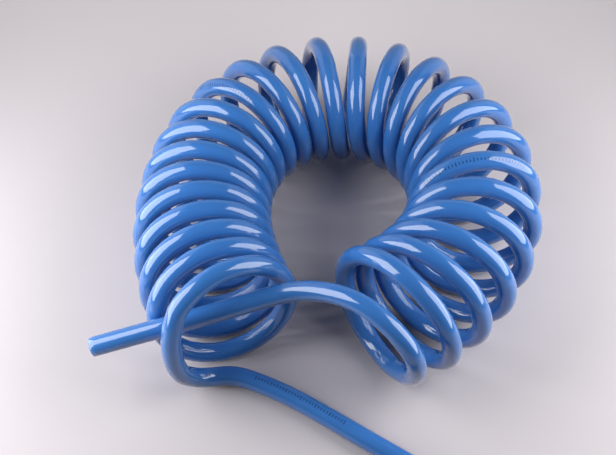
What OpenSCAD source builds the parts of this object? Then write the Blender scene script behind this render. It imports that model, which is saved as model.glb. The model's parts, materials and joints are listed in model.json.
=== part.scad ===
// Coiled air hose: one unbroken polyurethane tube, wound into a right-handed coil.
// The coil lies on a flat surface, bent round into a horseshoe.
// One tail goes back through the first turns and the other runs off along the surface.
// Millimetres, +Z up, z = 0 on the surface, origin under the middle of the whole part.

/* [Tube] */
// outside diameter of the tube
tube_od = 10; // [8:0.5:11]
// diameter of the bore
tube_bore = 6.5; // [4:0.5:7]
// straight stretch at each cut end
end_length = 25; // [15:1:40]

/* [Coil] */
// radius of an open turn, at the middle of the tube
turn_radius = 33; // [28:0.5:40]
// whole turns of the coil
turns = 25; // [20:1:28]
// space that the winding leaves between turns on the inner side of the tightest bend
turn_gap = 0.1; // [0.1:0.1:3]
// depth of the flat on the underside of each turn
foot_depth = 1; // [0.5:0.1:1.5]

/* [Lie on the surface] */
// where the coil's axis starts, across
start_x = -45; // [-80:0.5:0]
// where the coil's axis starts, towards the back
start_y = -58; // [-100:0.5:0]
// heading of the axis at its start, in degrees from +X
start_heading = 115.7; // [90:0.1:140]

/* [Hidden] */
$fn = 96;
coil_blue = [0.16, 0.42, 0.78];
tail_blue = [0.20, 0.47, 0.82];
end_blue = [0.24, 0.52, 0.86];

// Five stations along the coil, as shares of its length, and how it lies at each of them.
station_share = [0, 0.25, 0.47, 0.76, 1];
// bend of the horseshoe, in degrees a turn
station_bend = [3.2, 7.2, 16.8, 12.6, 7.9];
// space between turns on the inner side, over turn_gap
station_space = [2.1, 0.7, 0, 0.7, 1.3];
// change of the turn's radius
station_growth = [0.5, -2.5, -3.25, -2, 0.75];
// lean of a turn, forward along the axis, in degrees
station_lean = [7, 3, -3, -11, 3];
// swivel of a turn about the vertical, in degrees
station_swivel = [0, 6, 0.5, -8, -9];

// The first turn is pushed out by the tail that goes through it.
first_push = [2, -4.5, 5.5];
// turn number where the push is greatest, and how many turns it reaches each way
push_at = 0.25;
push_reach = 0.45;

// Routes of the two tails, from the coil to where their straight ends start.
threaded_route = [
  [43, -82, 44],
  [39, -80.5, 53],
  [33, -77, 61],
  [24, -70.5, 66.5],
  [13, -62, 67.5],
  [0, -54.5, 63.5],
  [-11, -50.5, 59],
  [-23, -49.5, 55],
  [-41, -53, 50.5],
  [-61, -57.5, 47],
  [-76, -61.5, 45.3],
  [-90.2, -63.3, 41.1]
];
// height of the middle line where a tail lies on the surface
on_surface = tube_od / 2;
floor_route = [
  [-72.5, -73.5, 24],
  [-69, -71, 15.5],
  [-63, -68, 9],
  [-55, -65.5, 6],
  [-46, -64, on_surface],
  [-37, -67, on_surface],
  [-27, -71.5, on_surface],
  [-13, -79, on_surface],
  [5, -91, on_surface],
  [25, -104.5, on_surface],
  [47, -119, on_surface]
];

// Fineness of the polygons that stand for the round tube.
rings_per_turn = 14;
bore_sides = 4;
outer_sides = 2 * bore_sides;
// rings between two points of a tail's route
route_steps = 2;
// how far the bore's cutter runs past each end of the tube
cut_past = 1;
// the coil's first and last ring, counted from the lowest point of the first turn
first_ring = 3;
last_ring = turns * rings_per_turn + 2;

function unit(v) = v / norm(v);
function last(v) = v[len(v) - 1];
function joined(lists) = [for (list = lists) for (item = list) item];
function running_sums(start, steps) =
  [for (i = 0, s = start; i <= len(steps); s = i < len(steps) ? s + steps[i] : s, i = i + 1) s];
// Rises from 0 to 1 and falls back, over reach on either side.
function swell(distance, reach) =
  abs(distance) < reach ? pow(cos(90 * distance / reach), 2) : 0;

// Turn numbers are counted from the lowest point of the first turn.
ring_step = 1 / rings_per_turn;
function ring_turn(number) = (number + 0.5) * ring_step;
stations = station_share * ring_turn(turns * rings_per_turn + 3);
function along(n, values) =
  lookup(n, [for (i = [0 : len(values) - 1]) [stations[i], values[i]]]);
function radius_at(n) = turn_radius + along(n, station_growth);
function pitch_at(n) =
  tube_od + turn_gap + along(n, station_space) + radius_at(n) * along(n, station_bend) * PI / 180;

// The axis of the coil is walked a ring's step at a time.
axis_steps = last_ring + 3;
step_turns = [for (i = [1 : axis_steps]) (i - 0.5) * ring_step];
headings = running_sums(
  start_heading,
  [for (n = step_turns) -along(n, station_bend) * ring_step]
);
axis_points = running_sums(
  [start_x, start_y],
  [
    for (i = [1 : axis_steps])
      let (heading = (headings[i - 1] + headings[i]) / 2)
      pitch_at(step_turns[i - 1]) * ring_step * [cos(heading), sin(heading)]
  ]
);
heading_table = [for (i = [0 : axis_steps]) [i * ring_step, headings[i]]];
x_table = [for (i = [0 : axis_steps]) [i * ring_step, axis_points[i].x]];
y_table = [for (i = [0 : axis_steps]) [i * ring_step, axis_points[i].y]];

// Middle of a turn, and the point of the tube's middle line at turn number n.
function turn_middle(n) =
  [
    lookup(n, x_table),
    lookup(n, y_table),
    radius_at(n) * cos(along(n, station_lean)) + tube_od / 2 - foot_depth
  ];
function coil_point(n) =
  let (
    phase = 360 * n - 90,
    heading = lookup(n, heading_table),
    lean = along(n, station_lean),
    swivel = along(n, station_swivel),
    ahead = [cos(heading), sin(heading), 0],
    side = [-sin(heading), cos(heading), 0],
    outward = side * cos(swivel) + ahead * sin(swivel),
    upward = [0, 0, cos(lean)] + ahead * sin(lean),
    corner_radius = radius_at(n) / cos(180 / rings_per_turn)
  )
  turn_middle(n)
    + corner_radius * (outward * cos(phase) + upward * sin(phase))
    + first_push * swell(n - push_at, push_reach);
function coil_direction(n) = unit(coil_point(n + 0.01) - coil_point(n - 0.01));
function coil_outward(n) = coil_point(n) - turn_middle(n);

// A ring of the tube: its middle, its direction and a vector to its outer side.
function ring(middle, direction, outward) =
  let (across = unit(cross(direction, outward)))
  [middle, direction, cross(across, direction)];
function coil_ring(n, shift) =
  ring(coil_point(n) + shift * coil_direction(n), coil_direction(n), coil_outward(n));

// The coil, with a straight stretch of one tube diameter at each end.
coil_start = ring_turn(first_ring);
coil_end = ring_turn(last_ring);
coil_rings = joined([
  [coil_ring(coil_start, -tube_od)],
  [for (number = [first_ring : last_ring]) coil_ring(ring_turn(number), 0)],
  [coil_ring(coil_end, tube_od)]
]);

// A smooth curve through the points, from the second to the last but one.
function curve_point(a, b, c, d, t) =
  let (
    slope = (c - a) / 2,
    square = (2 * a - 5 * b + 4 * c - d) / 2,
    cube = (3 * b - 3 * c + d - a) / 2
  )
  b + slope * t + square * pow(t, 2) + cube * pow(t, 3);
function curve(points) =
  let (stretches = len(points) - 3)
  [
    for (i = [0 : stretches - 1])
      for (step = [0 : route_steps - 1])
        curve_point(points[i], points[i + 1], points[i + 2], points[i + 3], step / route_steps),
    points[stretches + 1]
  ];

// A tail: its first ring is the coil's own, turned to run away from the coil.
function tail_end_direction(route) = unit(last(route) - route[len(route) - 2]);
function tail_rings(first, before, route) =
  let (
    beyond = last(route) + norm(last(route) - route[len(route) - 2]) * tail_end_direction(route),
    middles = curve(joined([[before, first[0]], route, [beyond]])),
    count = len(middles),
    directions = [
      for (i = [0 : count - 1])
        i == 0 ? first[1]
          : i == count - 1 ? tail_end_direction(route)
          : unit(middles[i + 1] - middles[i - 1])
    ]
  )
  [
    for (i = 0, s = first; i < count; i = i + 1, s = i < count ? ring(middles[i], directions[i], s[2]) : s) s
  ];
function reversed(s) = [s[0], -s[1], s[2]];
threaded_rings = tail_rings(last(coil_rings), coil_point(coil_end), threaded_route);
floor_rings = tail_rings(reversed(coil_rings[0]), coil_point(coil_start), floor_route);

// Corners of one ring. The underside is cut flat on the surface.
function ring_corners(s, radius, sides) = [
  for (i = [0 : sides - 1])
    let (
      angle = 360 * (i + 0.5) / sides,
      corner = s[0] + radius * (s[2] * cos(angle) + cross(s[1], s[2]) * sin(angle))
    )
    [corner.x, corner.y, max(corner.z, 0)]
];

// Triangles between two rings that follow each other in the point list.
function side_faces(first, sides) = joined([
  for (i = [0 : sides - 1])
    let (
      a = first + i,
      b = first + (i + 1) % sides
    )
    [[a, b + sides, b], [a, a + sides, b + sides]]
]);
function flipped(faces) = [for (f = faces) [f[0], f[2], f[1]]];
// Triangles of a cut face, from the outer ring to a bore ring of half as many corners.
function cut_faces(outer, bore) = joined([
  for (i = [0 : bore_sides - 1])
    let (
      a = outer + 2 * i,
      b = outer + 2 * i + 1,
      c = outer + (2 * i + 2) % outer_sides,
      d = bore + i,
      e = bore + (i + 1) % bore_sides
    )
    [[a, d, b], [b, e, c], [b, d, e]]
]);

// An open tube with a square cut at both ends.
module bored_tube(tube) {
  count = len(tube);
  bore_first = count * outer_sides;
  outer_points = joined([for (s = tube) ring_corners(s, tube_od / 2, outer_sides)]);
  bore_points = joined([for (s = tube) ring_corners(s, tube_bore / 2, bore_sides)]);
  outer_faces = joined([for (k = [0 : count - 2]) side_faces(k * outer_sides, outer_sides)]);
  bore_faces = joined([for (k = [0 : count - 2]) side_faces(bore_first + k * bore_sides, bore_sides)]);
  polyhedron(
    points = joined([outer_points, bore_points]),
    faces = joined([
      outer_faces,
      flipped(bore_faces),
      flipped(cut_faces(0, bore_first)),
      cut_faces((count - 1) * outer_sides, bore_first + (count - 1) * bore_sides)
    ])
  );
}

// A straight end with its true round bore, from the last ring of a tail.
module straight_end(s) {
  tilt = acos(s[1].z);
  turn = atan2(s[1].y, s[1].x);
  translate(s[0])
    rotate([0, tilt, turn])
      difference() {
        cylinder(h = end_length, d = tube_od);
        translate([0, 0, -cut_past])
          cylinder(h = end_length + 2 * cut_past, d = tube_bore);
      }
}

// The whole part is centred over its own box.
function cut_reach(s, side) = [
  for (k = [0 : 1])
    s[0][k] + s[1][k] * end_length + side * tube_od / 2 * sqrt(1 - pow(s[1][k], 2))
];
ends = [last(threaded_rings), last(floor_rings)];
skin = joined([
  for (tube = [coil_rings, threaded_rings, floor_rings])
    for (s = tube) ring_corners(s, tube_od / 2, outer_sides)
]);
low_points = joined([skin, [for (s = ends) cut_reach(s, -1)]]);
high_points = joined([skin, [for (s = ends) cut_reach(s, 1)]]);
lowest = [for (k = [0 : 1]) min([for (p = low_points) p[k]])];
highest = [for (k = [0 : 1]) max([for (p = high_points) p[k]])];
to_origin = [-(lowest.x + highest.x) / 2, -(lowest.y + highest.y) / 2, 0];

module coil() {
  color(coil_blue)
    translate(to_origin)
      bored_tube(coil_rings);
}

module threaded_tail() {
  color(tail_blue)
    translate(to_origin)
      bored_tube(threaded_rings);
}

module threaded_end() {
  color(end_blue)
    translate(to_origin)
      straight_end(last(threaded_rings));
}

module floor_tail() {
  color(tail_blue)
    translate(to_origin)
      bored_tube(floor_rings);
}

module floor_end() {
  color(end_blue)
    translate(to_origin)
      straight_end(last(floor_rings));
}

// Least space between stretches of the tube, measured on the points of its middle line.
function to_edge(p, a, b) =
  let (share = (p - a) * (b - a) / ((b - a) * (b - a)))
  norm(p - a - max(0, min(1, share)) * (b - a));
function least_space(points, others, from, to) =
  min([
    for (i = [0 : len(points) - 1])
      for (j = [max(0, i + from) : 1 : min(len(others) - 2, i + to)])
        to_edge(points[i], others[j], others[j + 1])
  ]) - tube_od;
coil_middles = [for (s = coil_rings) s[0]];
threaded_middles = [for (s = threaded_rings) s[0]];
first_turns = [for (i = [0 : 2 * rings_per_turn]) coil_middles[i]];
self_gap = least_space(coil_middles, coil_middles, rings_per_turn - 4, rings_per_turn + 4);
tail_gap = least_space(threaded_middles, first_turns, -len(first_turns), len(first_turns));
echo(least_gap_of_coil_to_itself = self_gap, least_gap_of_tail_to_coil = tail_gap);

coil();
threaded_tail();
threaded_end();
floor_tail();
floor_end();
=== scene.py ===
"""A coiled air hose: one glossy blue tube, wound into a coil that lies bent into a horseshoe."""

import json
import math

import bpy
from bpy.props import FloatProperty, FloatVectorProperty, IntProperty, PointerProperty
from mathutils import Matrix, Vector


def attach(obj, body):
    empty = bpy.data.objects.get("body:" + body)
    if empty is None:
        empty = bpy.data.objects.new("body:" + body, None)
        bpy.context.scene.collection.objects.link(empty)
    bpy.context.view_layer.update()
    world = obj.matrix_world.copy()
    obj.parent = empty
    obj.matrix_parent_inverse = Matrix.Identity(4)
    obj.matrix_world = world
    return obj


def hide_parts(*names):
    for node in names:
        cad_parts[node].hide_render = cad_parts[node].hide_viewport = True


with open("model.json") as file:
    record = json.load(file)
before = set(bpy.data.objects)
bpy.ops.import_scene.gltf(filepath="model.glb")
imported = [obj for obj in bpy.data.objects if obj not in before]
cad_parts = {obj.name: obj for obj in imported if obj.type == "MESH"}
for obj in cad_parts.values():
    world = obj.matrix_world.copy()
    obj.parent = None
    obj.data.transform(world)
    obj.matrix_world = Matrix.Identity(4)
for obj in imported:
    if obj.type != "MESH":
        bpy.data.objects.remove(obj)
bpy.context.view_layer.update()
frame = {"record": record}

bl_info = {
    "name": "Coiled Air Hose",
    "version": (1, 0, 0),
    "blender": (4, 5, 0),
    "location": "View3D > Sidebar > Hose",
    "description": "Builds a coiled air hose with its finish, and a stage to show it on",
    "category": "Object",
}

MOUNTS = {mount["name"]: mount for mount in frame["record"]["mounts"]}
ALL_NODES = ("coil", "threaded_tail", "threaded_end", "floor_tail", "floor_end")

# How the coil lies, at five stations along it, as shares of its length.
STATION_SHARE = (0, 0.25, 0.47, 0.76, 1)
# bend of the horseshoe, in degrees a turn
STATION_BEND = (3.2, 7.2, 16.8, 12.6, 7.9)
# space between turns on the inner side, over the turn gap
STATION_SPACE = (0.0021, 0.0007, 0, 0.0007, 0.0013)
# change of the turn's radius
STATION_GROWTH = (0.0005, -0.0025, -0.00325, -0.002, 0.00075)
# lean of a turn, forward along the axis, and its swivel about the vertical, in degrees
STATION_LEAN = (7, 3, -3, -11, 3)
STATION_SWIVEL = (0, 6, 0.5, -8, -9)

# The coil's axis starts here and heads this way.
AXIS_START = (-0.045, -0.058)
AXIS_HEADING = 115.7

# The first turn is pushed out by the tail that goes through it: how far at the most, at which turn
# number, and how many turns the push reaches each way.
FIRST_PUSH = Vector((0.002, -0.0045, 0.0055))
PUSH_AT = 0.25
PUSH_REACH = 0.45

# The solids of the coil have this many rings a turn.
RINGS_A_TURN = 14
# Turn numbers are counted from the lowest point of the first turn. The coil starts at the first of
# these and ends the second past its whole turns. The last station lies the third past them.
COIL_START = 3.5 / RINGS_A_TURN
COIL_TAIL = 2.5 / RINGS_A_TURN
LIE_TAIL = 3.5 / RINGS_A_TURN

# Routes of the two tails, from the coil to where their straight ends start.
THREADED_ROUTE = (
    (0.043, -0.082, 0.044),
    (0.039, -0.0805, 0.053),
    (0.033, -0.077, 0.061),
    (0.024, -0.0705, 0.0665),
    (0.013, -0.062, 0.0675),
    (0.0, -0.0545, 0.0635),
    (-0.011, -0.0505, 0.059),
    (-0.023, -0.0495, 0.055),
    (-0.041, -0.053, 0.0505),
    (-0.061, -0.0575, 0.047),
    (-0.076, -0.0615, 0.0453),
    (-0.0902, -0.0633, 0.0411),
)
FLOOR_ROUTE = (
    (-0.0725, -0.0735, 0.024),
    (-0.069, -0.071, 0.0155),
    (-0.063, -0.068, 0.009),
    (-0.055, -0.0655, 0.006),
    (-0.046, -0.064, 0.005),
    (-0.037, -0.067, 0.005),
    (-0.027, -0.0715, 0.005),
    (-0.013, -0.079, 0.005),
    (0.005, -0.091, 0.005),
    (0.025, -0.1045, 0.005),
    (0.047, -0.119, 0.005),
)

# Where a scale is printed: metres from the floor end, and share of the way round the tube.
PRINTED_PLACES = ((0.07, 0.47), (1.605, 0.3), (1.975, 0.12), (3.9, 0.89))
# Its ticks: spacing, inked share of the spacing, every how many a tall one comes, how far a tick
# reaches to each side as a share of the way round, how much further a tall one does, and how much
# the ink covers.
TICK_SPACING = 0.0017
TICK_SHARE = 0.4
TALL_EVERY = 5
TICK_REACH = 0.024
TALL_REACH = 0.013
INK_COVER = 0.6

# The floor: half its width, how far its colour wanders both ways, and how much more pale its colour
# grows between two places towards the back, which is painted light.
FLOOR_HALF = 6.0
FLOOR_CLOUDS = 0.04
PAINTED_LIGHT_START = -0.12
PAINTED_LIGHT_END = 0.42
PAINTED_LIGHT_FACTOR = 1.7

# Fineness of the mesh: samples a turn, samples between two route points, corners round the tube,
# steps of the axis a turn, and steps of a straight end.
TURN_SAMPLES = 56
ROUTE_SAMPLES = 6
TUBE_CORNERS = 28
AXIS_SAMPLES = 40
END_STEPS = 8

# Where a tail meets the coil, its curve looks this many samples back, and is eased this many times.
JOIN_SAMPLES = 6
EASE_ROUNDS = 12

# Broken edge at the cuts, and how closely the hose has to meet its mount.
CUT_EDGE = 0.00025
MOUNT_TOLERANCE = 0.001


class HoseSizes(bpy.types.PropertyGroup):
    """Sizes of the hose"""

    tube_diameter: FloatProperty(
        name="Tube Diameter", description="Outside diameter of the tube", default=0.010, unit="LENGTH"
    )
    bore_diameter: FloatProperty(
        name="Bore Diameter", description="Diameter of the bore", default=0.0065, unit="LENGTH"
    )
    bore_depth: FloatProperty(
        name="Bore Depth", description="Depth of the bore shown at each cut end",
        default=0.06, unit="LENGTH",
    )
    end_length: FloatProperty(
        name="End Length", description="Straight stretch at each cut end", default=0.025, unit="LENGTH"
    )
    turn_radius: FloatProperty(
        name="Turn Radius", description="Radius of an open turn, to the middle of the tube",
        default=0.033, unit="LENGTH",
    )
    turn_gap: FloatProperty(
        name="Turn Gap", description="Space between turns at the tightest bend",
        default=0.0001, unit="LENGTH",
    )
    turns: IntProperty(name="Turns", description="Whole turns of the coil", default=25)


class HoseFinish(bpy.types.PropertyGroup):
    """Colours and surface of the hose"""

    tube_blue: FloatVectorProperty(
        name="Tube Blue", description="Colour of the tube", subtype="COLOR", size=3,
        default=(0.048, 0.195, 0.54),
    )
    deep_blue: FloatVectorProperty(
        name="Deep Blue", description="Darker clouds in the tube", subtype="COLOR", size=3,
        default=(0.036, 0.15, 0.46),
    )
    ink: FloatVectorProperty(
        name="Ink", description="Colour of the printed scale", subtype="COLOR", size=3,
        default=(0.006, 0.012, 0.05),
    )
    ink_length: FloatProperty(
        name="Ink Length", description="Length of one printed scale", default=0.052, unit="LENGTH"
    )


class StageSettings(bpy.types.PropertyGroup):
    """Floor, lamps and camera"""

    floor_colour: FloatVectorProperty(
        name="Floor Colour", description="Colour of the floor", subtype="COLOR", size=3,
        default=(0.575, 0.535, 0.56),
    )
    floor_bounce: FloatProperty(
        name="Floor Bounce", description="Share of the floor's colour that it casts on the object",
        default=0.09,
    )
    look_at: FloatVectorProperty(
        name="Look At", description="Point on the floor the camera looks at",
        subtype="TRANSLATION", size=3, default=(-0.0087, 0.0359, 0.0),
    )
    distance: FloatProperty(
        name="Distance", description="Camera to the point it looks at", default=0.75, unit="LENGTH"
    )
    elevation: FloatProperty(
        name="Elevation", description="Height of the camera over the horizon", subtype="ANGLE",
        default=math.radians(51.1),
    )
    lens: FloatProperty(name="Lens", description="Focal length in millimetres", default=79.07)
    lamp_brightness: FloatProperty(
        name="Lamp Brightness", description="Brightness of the softboxes' faces", default=6.4
    )
    sky: FloatProperty(name="Sky", description="Strength of the soft light from all round", default=0.05)


# Shapes -----------------------------------------------------------------------


def along(turn, values, end):
    """Value at a turn number, straight between the stations."""
    share = min(max(turn / end, 0.0), 1.0)
    i = next(i for i, high in enumerate(STATION_SHARE[1:]) if share <= high)
    low, high = STATION_SHARE[i], STATION_SHARE[i + 1]
    return values[i] + (values[i + 1] - values[i]) * (share - low) / (high - low)


def swell(distance, reach):
    """Rises from 0 to 1 and falls back, over reach on either side."""
    return math.cos(math.pi / 2 * distance / reach) ** 2 if abs(distance) < reach else 0.0


def walk_axis(sizes, end):
    """Heading and place of the coil's axis, at even steps of a turn."""
    step = 1 / AXIS_SAMPLES
    heading = math.radians(AXIS_HEADING)
    place = Vector((*AXIS_START, 0))
    walk = [(heading, place.copy())]
    for i in range(int((end + 1) * AXIS_SAMPLES)):
        middle = (i + 0.5) * step
        bend = math.radians(along(middle, STATION_BEND, end))
        radius = sizes.turn_radius + along(middle, STATION_GROWTH, end)
        pitch = sizes.tube_diameter + sizes.turn_gap + along(middle, STATION_SPACE, end) + radius * bend
        turned = heading - bend * step
        mean = (heading + turned) / 2
        place = place + Vector((math.cos(mean), math.sin(mean), 0)) * pitch * step
        heading = turned
        walk.append((heading, place.copy()))
    return walk


def coil_point(turn, walk, sizes, end):
    """Middle of the tube at a turn number, and the way to the turn's outer side."""
    position = turn * AXIS_SAMPLES
    i = min(int(position), len(walk) - 2)
    share = position - i
    heading = walk[i][0] + (walk[i + 1][0] - walk[i][0]) * share
    place = walk[i][1].lerp(walk[i + 1][1], share)
    lean = math.radians(along(turn, STATION_LEAN, end))
    swivel = math.radians(along(turn, STATION_SWIVEL, end))
    radius = sizes.turn_radius + along(turn, STATION_GROWTH, end)
    ahead = Vector((math.cos(heading), math.sin(heading), 0))
    side = Vector((-math.sin(heading), math.cos(heading), 0))
    outward = side * math.cos(swivel) + ahead * math.sin(swivel)
    upward = Vector((0, 0, math.cos(lean))) + ahead * math.sin(lean)
    phase = 2 * math.pi * turn - math.pi / 2
    spoke = outward * math.cos(phase) + upward * math.sin(phase)
    middle = place + Vector((0, 0, radius * math.cos(lean) + sizes.tube_diameter / 2))
    push = FIRST_PUSH * swell(turn - PUSH_AT, PUSH_REACH)
    return middle + spoke * radius + push, spoke


def smooth_curve(points, samples):
    """A smooth curve through the points, from the second to the last but one."""
    curve = []
    for a, b, c, d in zip(points, points[1:], points[2:], points[3:]):
        for k in range(samples):
            t = k / samples
            curve.append(
                b + (c - a) * t / 2
                + (2 * a - 5 * b + 4 * c - d) * t**2 / 2
                + (3 * b - 3 * c + d - a) * t**3 / 2
            )
    curve.append(points[-2].copy())
    return curve


def tail_line(before, start, route, end_length):
    """Middle line of a tail, from the coil's last point to its cut."""
    points = [Vector(p) for p in route]
    direction = (points[-1] - points[-2]).normalized()
    cut = points[-1] + direction * end_length
    line = smooth_curve([before, start] + points + [cut], ROUTE_SAMPLES)
    return line + [points[-1].lerp(cut, k / END_STEPS) for k in range(1, END_STEPS + 1)]


def relaxed(line, first, last, rounds):
    """The line with its small kinks eased between two of its points."""
    for _ in range(rounds):
        eased = [p.copy() for p in line]
        for i in range(max(first, 1), min(last, len(line) - 1)):
            eased[i] = line[i].lerp((line[i - 1] + line[i + 1]) / 2, 0.5)
        line = eased
    return line


def hose_line(sizes):
    """Middle line of the whole hose from the floor cut to the threaded cut, and its outer side."""
    end = sizes.turns + LIE_TAIL
    walk = walk_axis(sizes, end)
    last_turn = sizes.turns + COIL_TAIL
    count = round((last_turn - COIL_START) * TURN_SAMPLES)
    turns = [COIL_START + (last_turn - COIL_START) * i / count for i in range(count + 1)]
    coil = [coil_point(turn, walk, sizes, end) for turn in turns]
    middles = [point for point, _ in coil]
    spokes = [spoke for _, spoke in coil]
    floor = tail_line(middles[JOIN_SAMPLES], middles[0], FLOOR_ROUTE, sizes.end_length)
    threaded = tail_line(middles[-1 - JOIN_SAMPLES], middles[-1], THREADED_ROUTE, sizes.end_length)
    line = floor[:0:-1] + middles + threaded[1:]
    first_coil, last_coil = len(floor) - 1, len(floor) - 2 + len(middles)
    line = relaxed(line, END_STEPS + 1, first_coil + JOIN_SAMPLES, EASE_ROUNDS)
    line = relaxed(line, last_coil - JOIN_SAMPLES, len(line) - END_STEPS - 2, EASE_ROUNDS)
    sides = [None] * len(line)
    for i, spoke in enumerate(spokes):
        sides[first_coil + i] = spoke
    return line, sides, first_coil, last_coil


def ring_frames(line, sides, first_coil, last_coil):
    """Direction, outward and across vectors at each point, turned along the tails without twist."""
    directions = []
    for i in range(len(line)):
        directions.append((line[min(i + 1, len(line) - 1)] - line[max(i - 1, 0)]).normalized())
    order = list(range(first_coil, len(line))) + list(range(first_coil - 1, -1, -1))
    frames = [None] * len(line)
    for i in order:
        neighbour = i - 1 if i > first_coil else i + 1
        guide = sides[i] if sides[i] is not None else frames[neighbour][1]
        across = directions[i].cross(guide).normalized()
        frames[i] = (directions[i], across.cross(directions[i]), across)
    return frames


def lengths_along(line):
    """Distance along the line at each of its points."""
    run = [0.0]
    for a, b in zip(line, line[1:]):
        run.append(run[-1] + (b - a).length)
    return run


def tube_mesh(name, line, frames, sizes):
    """The tube's skin, with a square cut, a broken edge and an open bore at both ends."""
    outer, bore, edge = sizes.tube_diameter / 2, sizes.bore_diameter / 2, CUT_EDGE
    run = lengths_along(line)
    depth = next(i for i, length in enumerate(run) if length > sizes.bore_depth)
    # Rings as (point index, shift along the line, radius), from one bore's floor to the other's.
    rings = [(i, 0, bore) for i in range(depth, 0, -1)]
    rings += [(0, edge, bore), (0, 0, bore + edge), (0, 0, outer - edge), (0, edge, outer)]
    rings += [(i, 0, outer) for i in range(1, len(line) - 1)]
    last = len(line) - 1
    rings += [(last, -edge, outer), (last, 0, outer - edge), (last, 0, bore + edge), (last, -edge, bore)]
    rings += [(i, 0, bore) for i in range(last - 1, last - 1 - depth, -1)]
    verts, uvs = [], []
    for i, shift, radius in rings:
        direction, outward, across = frames[i]
        for k in range(TUBE_CORNERS):
            angle = 2 * math.pi * k / TUBE_CORNERS
            spoke = outward * math.cos(angle) + across * math.sin(angle)
            verts.append(line[i] + direction * shift + spoke * radius)
        uvs.append(run[i] + shift)
    faces, face_uvs = [], []
    for r in range(len(rings) - 1):
        # The bore and the cut lie before the start of the map, where nothing is printed.
        inside = min(rings[r][2], rings[r + 1][2]) < outer - edge
        near, far = (uvs[r] - run[-1] - 1, uvs[r + 1] - run[-1] - 1) if inside else (uvs[r], uvs[r + 1])
        for k in range(TUBE_CORNERS):
            a, b = r * TUBE_CORNERS + k, r * TUBE_CORNERS + (k + 1) % TUBE_CORNERS
            faces.append((a, b, b + TUBE_CORNERS, a + TUBE_CORNERS))
            low, high = k / TUBE_CORNERS, (k + 1) / TUBE_CORNERS
            face_uvs += [(near, low), (near, high), (far, high), (far, low)]
    for first in (0, (len(rings) - 1) * TUBE_CORNERS):
        plug = list(range(first, first + TUBE_CORNERS))
        faces.append(plug[::-1] if first == 0 else plug)
        face_uvs += [(0.0, 0.0)] * TUBE_CORNERS
    mesh = bpy.data.meshes.new(name)
    mesh.from_pydata(verts, [], faces)
    layer = mesh.uv_layers.new(name="along_and_round")
    for item, uv in zip(layer.data, face_uvs):
        item.uv = uv
    mesh.polygons.foreach_set("use_smooth", [True] * len(mesh.polygons))
    mesh.validate()
    mesh.update()
    return mesh


# Materials --------------------------------------------------------------------


def add_socket(group, name, kind, way="INPUT", value=None):
    """A socket on a node group's own face."""
    socket = group.interface.new_socket(name=name, in_out=way, socket_type=kind)
    if value is not None:
        socket.default_value = value


def node(tree, kind, place, **settings):
    """A new node at a place in the tree, with its settings."""
    made = tree.nodes.new(kind)
    made.location = place
    for key, value in settings.items():
        setattr(made, key, value)
    return made


def maths(tree, operation, first, second, place):
    """Output of a new Math node. Each input is a socket or a number, and the second may be None."""
    made = node(tree, "ShaderNodeMath", place, operation=operation)
    for slot, item in enumerate((first, second)):
        if isinstance(item, bpy.types.NodeSocket):
            tree.links.new(item, made.inputs[slot])
        elif item is not None:
            made.inputs[slot].default_value = item
    return made.outputs[0]


def drawn_streaks_group():
    """Fine streaks that a die leaves along a drawn tube, and a slow mottle."""
    group = bpy.data.node_groups.new("drawn_streaks", "ShaderNodeTree")
    add_socket(group, "Streaks Round", "NodeSocketFloat", value=70.0)
    add_socket(group, "Streaks Along", "NodeSocketFloat", value=14.0)
    add_socket(group, "Streak", "NodeSocketFloat", "OUTPUT")
    add_socket(group, "Mottle", "NodeSocketFloat", "OUTPUT")
    inlet = node(group, "NodeGroupInput", (-900, 0))
    outlet = node(group, "NodeGroupOutput", (500, 0))
    uv = node(group, "ShaderNodeUVMap", (-900, -200), uv_map="along_and_round")
    parts = node(group, "ShaderNodeSeparateXYZ", (-720, -200))
    group.links.new(uv.outputs[0], parts.inputs[0])
    turn = maths(group, "MULTIPLY", parts.outputs[1], 2 * math.pi, (-540, -260))
    ring_x = maths(group, "COSINE", turn, None, (-360, -200))
    ring_y = maths(group, "SINE", turn, None, (-360, -340))
    share = maths(group, "DIVIDE", inlet.outputs[0], 2 * math.pi, (-540, 60))
    place = node(group, "ShaderNodeCombineXYZ", (-20, -100))
    group.links.new(maths(group, "MULTIPLY", ring_x, share, (-180, -160)), place.inputs[0])
    group.links.new(maths(group, "MULTIPLY", ring_y, share, (-180, -300)), place.inputs[1])
    group.links.new(
        maths(group, "MULTIPLY", parts.outputs[0], inlet.outputs[1], (-180, 0)), place.inputs[2]
    )
    fine = node(group, "ShaderNodeTexNoise", (160, 60))
    fine.inputs["Scale"].default_value = 1.0
    fine.inputs["Detail"].default_value = 3.0
    group.links.new(place.outputs[0], fine.inputs["Vector"])
    where = node(group, "ShaderNodeTexCoord", (-20, -360))
    slow = node(group, "ShaderNodeTexNoise", (160, -300))
    slow.inputs["Scale"].default_value = 38.0
    slow.inputs["Detail"].default_value = 2.0
    group.links.new(where.outputs["Object"], slow.inputs["Vector"])
    group.links.new(fine.outputs["Fac"], outlet.inputs[0])
    group.links.new(slow.outputs["Fac"], outlet.inputs[1])
    return group


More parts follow.
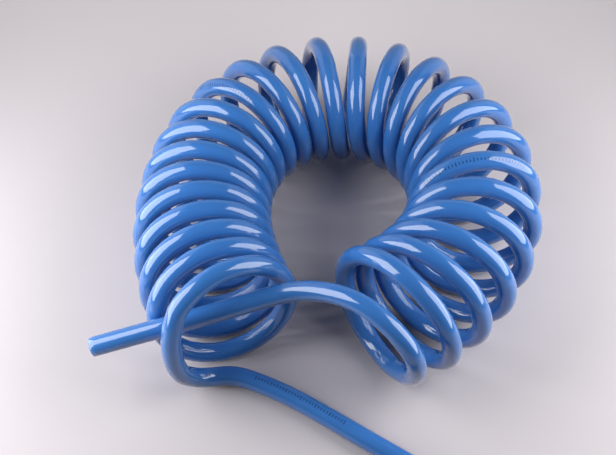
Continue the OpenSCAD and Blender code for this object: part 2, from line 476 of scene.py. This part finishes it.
def printed_scale_group():
    """Ink mask of a plain scale of ticks at one place on the tube."""
    group = bpy.data.node_groups.new("printed_scale", "ShaderNodeTree")
    add_socket(group, "Start", "NodeSocketFloat", value=0.0)
    add_socket(group, "Round", "NodeSocketFloat", value=0.5)
    add_socket(group, "Length", "NodeSocketFloat", value=0.05)
    add_socket(group, "Ink", "NodeSocketFloat", "OUTPUT")
    inlet = node(group, "NodeGroupInput", (-900, 0))
    outlet = node(group, "NodeGroupOutput", (900, 0))
    uv = node(group, "ShaderNodeUVMap", (-900, -200), uv_map="along_and_round")
    parts = node(group, "ShaderNodeSeparateXYZ", (-720, -200))
    group.links.new(uv.outputs[0], parts.inputs[0])
    length, turn = parts.outputs[0], parts.outputs[1]
    since = maths(group, "SUBTRACT", length, inlet.outputs["Start"], (-540, 0))
    begun = maths(group, "GREATER_THAN", since, 0.0, (-360, 60))
    unended = maths(group, "LESS_THAN", since, inlet.outputs["Length"], (-360, -60))
    run = maths(group, "MULTIPLY", begun, unended, (-180, 0))
    # How far round the tube a point is from the middle of the scale.
    off = maths(group, "SUBTRACT", turn, inlet.outputs["Round"], (-540, -420))
    band = maths(group, "PINGPONG", off, 0.5, (-360, -420))
    # Fine ticks of two heights.
    cell = maths(group, "DIVIDE", since, TICK_SPACING, (-360, 200))
    within = maths(group, "FRACT", cell, None, (-180, 200))
    tick = maths(group, "LESS_THAN", within, TICK_SHARE, (0, 200))
    number = maths(group, "FLOOR", cell, None, (-180, 360))
    place = maths(group, "FLOORED_MODULO", number, TALL_EVERY, (0, 360))
    tall = maths(group, "LESS_THAN", place, 0.5, (180, 360))
    reach = maths(group, "MULTIPLY_ADD", tall, TALL_REACH, (360, 360))
    reach.node.inputs[2].default_value = TICK_REACH
    inside = maths(group, "LESS_THAN", band, reach, (540, -100))
    both = maths(group, "MULTIPLY", tick, run, (360, 100))
    group.links.new(maths(group, "MULTIPLY", both, inside, (720, 0)), outlet.inputs[0])
    return group


def blue_tube_material(finish):
    """Glossy, slightly see-through blue polyurethane."""
    material = bpy.data.materials.new("blue_polyurethane")
    material.use_nodes = True
    tree = material.node_tree
    shader = tree.nodes["Principled BSDF"]
    shader.inputs["IOR"].default_value = 1.5
    shader.inputs["Coat Weight"].default_value = 1.0
    shader.inputs["Coat Roughness"].default_value = 0.03
    shader.inputs["Coat IOR"].default_value = 1.5
    shader.inputs["Specular IOR Level"].default_value = 0.3
    shader.inputs["Subsurface Weight"].default_value = 0.08
    shader.inputs["Subsurface Radius"].default_value = (0.3, 0.7, 1.0)
    shader.inputs["Subsurface Scale"].default_value = 0.003
    streaks = node(tree, "ShaderNodeGroup", (-900, 100), node_tree=drawn_streaks_group())
    scale = printed_scale_group()
    ink = 0.0
    for i, (start, turn) in enumerate(PRINTED_PLACES):
        print_run = node(tree, "ShaderNodeGroup", (-1300, -200 * i), node_tree=scale)
        print_run.inputs["Start"].default_value = start
        print_run.inputs["Round"].default_value = turn
        print_run.inputs["Length"].default_value = finish.ink_length
        ink = maths(tree, "MAXIMUM", print_run.outputs["Ink"], ink, (-1100, -200 * i))
    body = node(tree, "ShaderNodeMix", (-600, 200), data_type="RGBA")
    body.inputs["A"].default_value = (*finish.deep_blue, 1)
    body.inputs["B"].default_value = (*finish.tube_blue, 1)
    tree.links.new(streaks.outputs["Mottle"], body.inputs["Factor"])
    printed = node(tree, "ShaderNodeMix", (-300, 200), data_type="RGBA")
    printed.inputs["B"].default_value = (*finish.ink, 1)
    shown = maths(tree, "MULTIPLY", ink, INK_COVER, (-600, -100))
    tree.links.new(shown, printed.inputs["Factor"])
    tree.links.new(body.outputs["Result"], printed.inputs["A"])
    tree.links.new(printed.outputs["Result"], shader.inputs["Base Color"])
    rough = node(tree, "ShaderNodeMapRange", (-600, -300))
    rough.inputs["To Min"].default_value = 0.07
    rough.inputs["To Max"].default_value = 0.16
    tree.links.new(streaks.outputs["Streak"], rough.inputs["Value"])
    tree.links.new(rough.outputs["Result"], shader.inputs["Roughness"])
    bump = node(tree, "ShaderNodeBump", (-300, -400))
    bump.inputs["Strength"].default_value = 0.25
    bump.inputs["Distance"].default_value = 0.00008
    tree.links.new(streaks.outputs["Streak"], bump.inputs["Height"])
    tree.links.new(bump.outputs["Normal"], shader.inputs["Normal"])
    return material


def floor_material(stage):
    """A pale, satin table top, with painted light that makes it more pale towards the back."""
    material = bpy.data.materials.new("pale_floor")
    material.use_nodes = True
    tree = material.node_tree
    shader = tree.nodes["Principled BSDF"]
    shader.inputs["Roughness"].default_value = 0.45
    shader.inputs["Specular IOR Level"].default_value = 0.3
    where = node(tree, "ShaderNodeTexCoord", (-900, 0))
    slow = node(tree, "ShaderNodeTexNoise", (-700, 0))
    slow.inputs["Scale"].default_value = 2.5
    slow.inputs["Detail"].default_value = 1.0
    tree.links.new(where.outputs["Object"], slow.inputs["Vector"])
    mix = node(tree, "ShaderNodeMix", (-400, 0), data_type="RGBA")
    for socket, factor in (("A", 1 - FLOOR_CLOUDS), ("B", 1 + FLOOR_CLOUDS)):
        mix.inputs[socket].default_value = (*(min(c * factor, 1.0) for c in stage.floor_colour), 1)
    tree.links.new(slow.outputs["Fac"], mix.inputs["Factor"])
    # Painted light: the floor's colour grows more pale towards the back, where the lamps reach it less,
    # in place of light there.
    parts = node(tree, "ShaderNodeSeparateXYZ", (-700, -300))
    tree.links.new(where.outputs["Object"], parts.inputs[0])
    painted_light_ramp = node(tree, "ShaderNodeMapRange", (-500, -300), interpolation_type="SMOOTHSTEP")
    painted_light_ramp.inputs["From Min"].default_value = PAINTED_LIGHT_START
    painted_light_ramp.inputs["From Max"].default_value = PAINTED_LIGHT_END
    painted_light_ramp.inputs["To Min"].default_value = 1.0
    painted_light_ramp.inputs["To Max"].default_value = PAINTED_LIGHT_FACTOR
    tree.links.new(parts.outputs[1], painted_light_ramp.inputs["Value"])
    # The floor is as pale as written where it is seen, and casts less of it on the object.
    path = node(tree, "ShaderNodeLightPath", (-900, 400))
    seen = maths(tree, "ADD", path.outputs["Is Camera Ray"], path.outputs["Is Glossy Ray"], (-700, 400))
    seen = maths(tree, "ADD", seen, path.outputs["Is Transmission Ray"], (-550, 400))
    share = maths(tree, "MAXIMUM", seen, stage.floor_bounce, (-400, 400))
    share = maths(tree, "MULTIPLY", share, painted_light_ramp.outputs["Result"], (-300, 300))
    shade = node(tree, "ShaderNodeVectorMath", (-200, 100), operation="SCALE")
    tree.links.new(mix.outputs["Result"], shade.inputs[0])
    tree.links.new(share, shade.inputs["Scale"])
    tree.links.new(shade.outputs["Vector"], shader.inputs["Base Color"])
    return material


# Lamps ------------------------------------------------------------------------

# A softbox on each side, and faintly glowing walls behind them.
# Each panel has its middle, the way it faces, its width and height, and its share of the brightness.
PANELS = (
    ("left_softbox", (-0.29, -0.07, 0.25), (1, 0, 0), (0.29, 0.46), 0.88),
    ("right_softbox", (0.29, -0.05, 0.25), (-1, 0, 0), (0.3, 0.44), 0.75),
    ("left_back", (-0.29, 0.3, 0.2275), (1, 0, 0), (0.4, 0.445), 0.1),
    ("right_back", (0.29, 0.3, 0.2275), (-1, 0, 0), (0.3, 0.445), 0.07),
    ("back_wall", (0, 0.45, 0.2275), (0, -1, 0), (0.58, 0.445), 0.045),
)


def add_panel(brightness, name, place, facing, size, share):
    """A rectangular lamp that lights one way."""
    lamp = bpy.data.lights.new(name, "AREA")
    lamp.shape = "RECTANGLE"
    lamp.size, lamp.size_y = size
    lamp.energy = brightness * share * math.pi * size[0] * size[1]
    panel = bpy.data.objects.new(name, lamp)
    panel.location = place
    panel.rotation_euler = Vector(facing).to_track_quat("-Z", "Y").to_euler()
    panel.visible_camera = False
    bpy.context.collection.objects.link(panel)


# Operators --------------------------------------------------------------------


class HOSE_OT_camera(bpy.types.Operator):
    """Sets the camera over the open side of the horseshoe"""

    bl_idname = "hose.camera"
    bl_label = "Camera"

    def execute(self, context):
        stage = context.scene.hose_stage
        camera = bpy.data.objects.new("hose_camera", bpy.data.cameras.new("hose_camera"))
        context.collection.objects.link(camera)
        back = Vector((0, -math.cos(stage.elevation), math.sin(stage.elevation)))
        camera.location = Vector(stage.look_at) + back * stage.distance
        camera.rotation_euler = (-back).to_track_quat("-Z", "Y").to_euler()
        camera.data.lens = stage.lens
        camera.data.sensor_width = 36
        context.scene.camera = camera
        return {"FINISHED"}


class HOSE_OT_tube(bpy.types.Operator):
    """Builds the hose as one unbroken tube from cut to cut"""

    bl_idname = "hose.tube"
    bl_label = "Tube"

    def execute(self, context):
        sizes = context.scene.hose_sizes
        line, sides, first_coil, last_coil = hose_line(sizes)
        end = MOUNTS["threaded_outside"]
        threaded_cut = Vector(end["pos_m"]) + Vector(end["axis"]) * sizes.end_length / 2
        shift = threaded_cut - line[-1]
        if shift.length > MOUNT_TOLERANCE:
            raise RuntimeError("the hose doesn't end at the threaded end's mount: %s" % shift)
        line = [p + shift for p in line]
        frames = ring_frames(line, sides, first_coil, last_coil)
        hose = bpy.data.objects.new("air_hose", tube_mesh("air_hose", line, frames, sizes))
        context.collection.objects.link(hose)
        hose.data.materials.append(blue_tube_material(context.scene.hose_finish))
        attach(hose, "root")
        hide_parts(*ALL_NODES)
        return {"FINISHED"}


class HOSE_OT_stage(bpy.types.Operator):
    """Sets a pale floor, the softboxes with the walls behind them, and an even sky"""

    bl_idname = "hose.stage"
    bl_label = "Stage"

    def execute(self, context):
        stage = context.scene.hose_stage
        mesh = bpy.data.meshes.new("floor")
        corners = [(x * FLOOR_HALF, y * FLOOR_HALF, 0) for x, y in ((-1, -1), (1, -1), (1, 1), (-1, 1))]
        mesh.from_pydata(corners, [], [(0, 1, 2, 3)])
        mesh.materials.append(floor_material(stage))
        floor = bpy.data.objects.new("floor", mesh)
        context.collection.objects.link(floor)
        for panel in PANELS:
            add_panel(stage.lamp_brightness, *panel)
        world = bpy.data.worlds.new("even_sky")
        world.use_nodes = True
        sky = world.node_tree.nodes["Background"]
        sky.inputs["Color"].default_value = (0.95, 0.95, 1.0, 1)
        sky.inputs["Strength"].default_value = stage.sky
        context.scene.world = world
        context.scene.view_settings.view_transform = "Standard"
        return {"FINISHED"}


class HOSE_PT_panel(bpy.types.Panel):
    """Lists the steps that build the hose"""

    bl_label = "Coiled Air Hose"
    bl_space_type = "VIEW_3D"
    bl_region_type = "UI"
    bl_category = "Hose"

    def draw(self, context):
        for group in (context.scene.hose_sizes, context.scene.hose_finish, context.scene.hose_stage):
            box = self.layout.box()
            for name in group.__annotations__:
                box.prop(group, name)
        for operator in STEPS:
            self.layout.operator(operator.bl_idname)


GROUPS = {"hose_sizes": HoseSizes, "hose_finish": HoseFinish, "hose_stage": StageSettings}
STEPS = (HOSE_OT_camera, HOSE_OT_tube, HOSE_OT_stage)


def register():
    for name, group in GROUPS.items():
        bpy.utils.register_class(group)
        setattr(bpy.types.Scene, name, PointerProperty(type=group))
    for step in STEPS:
        bpy.utils.register_class(step)
    bpy.utils.register_class(HOSE_PT_panel)


def unregister():
    bpy.utils.unregister_class(HOSE_PT_panel)
    for step in reversed(STEPS):
        bpy.utils.unregister_class(step)
    for name, group in reversed(GROUPS.items()):
        delattr(bpy.types.Scene, name)
        bpy.utils.unregister_class(group)


def main():
    """Builds the hose and its stage."""
    register()
    bpy.ops.hose.camera()
    bpy.ops.hose.tube()
    bpy.ops.hose.stage()


if __name__ == "__main__":
    main()
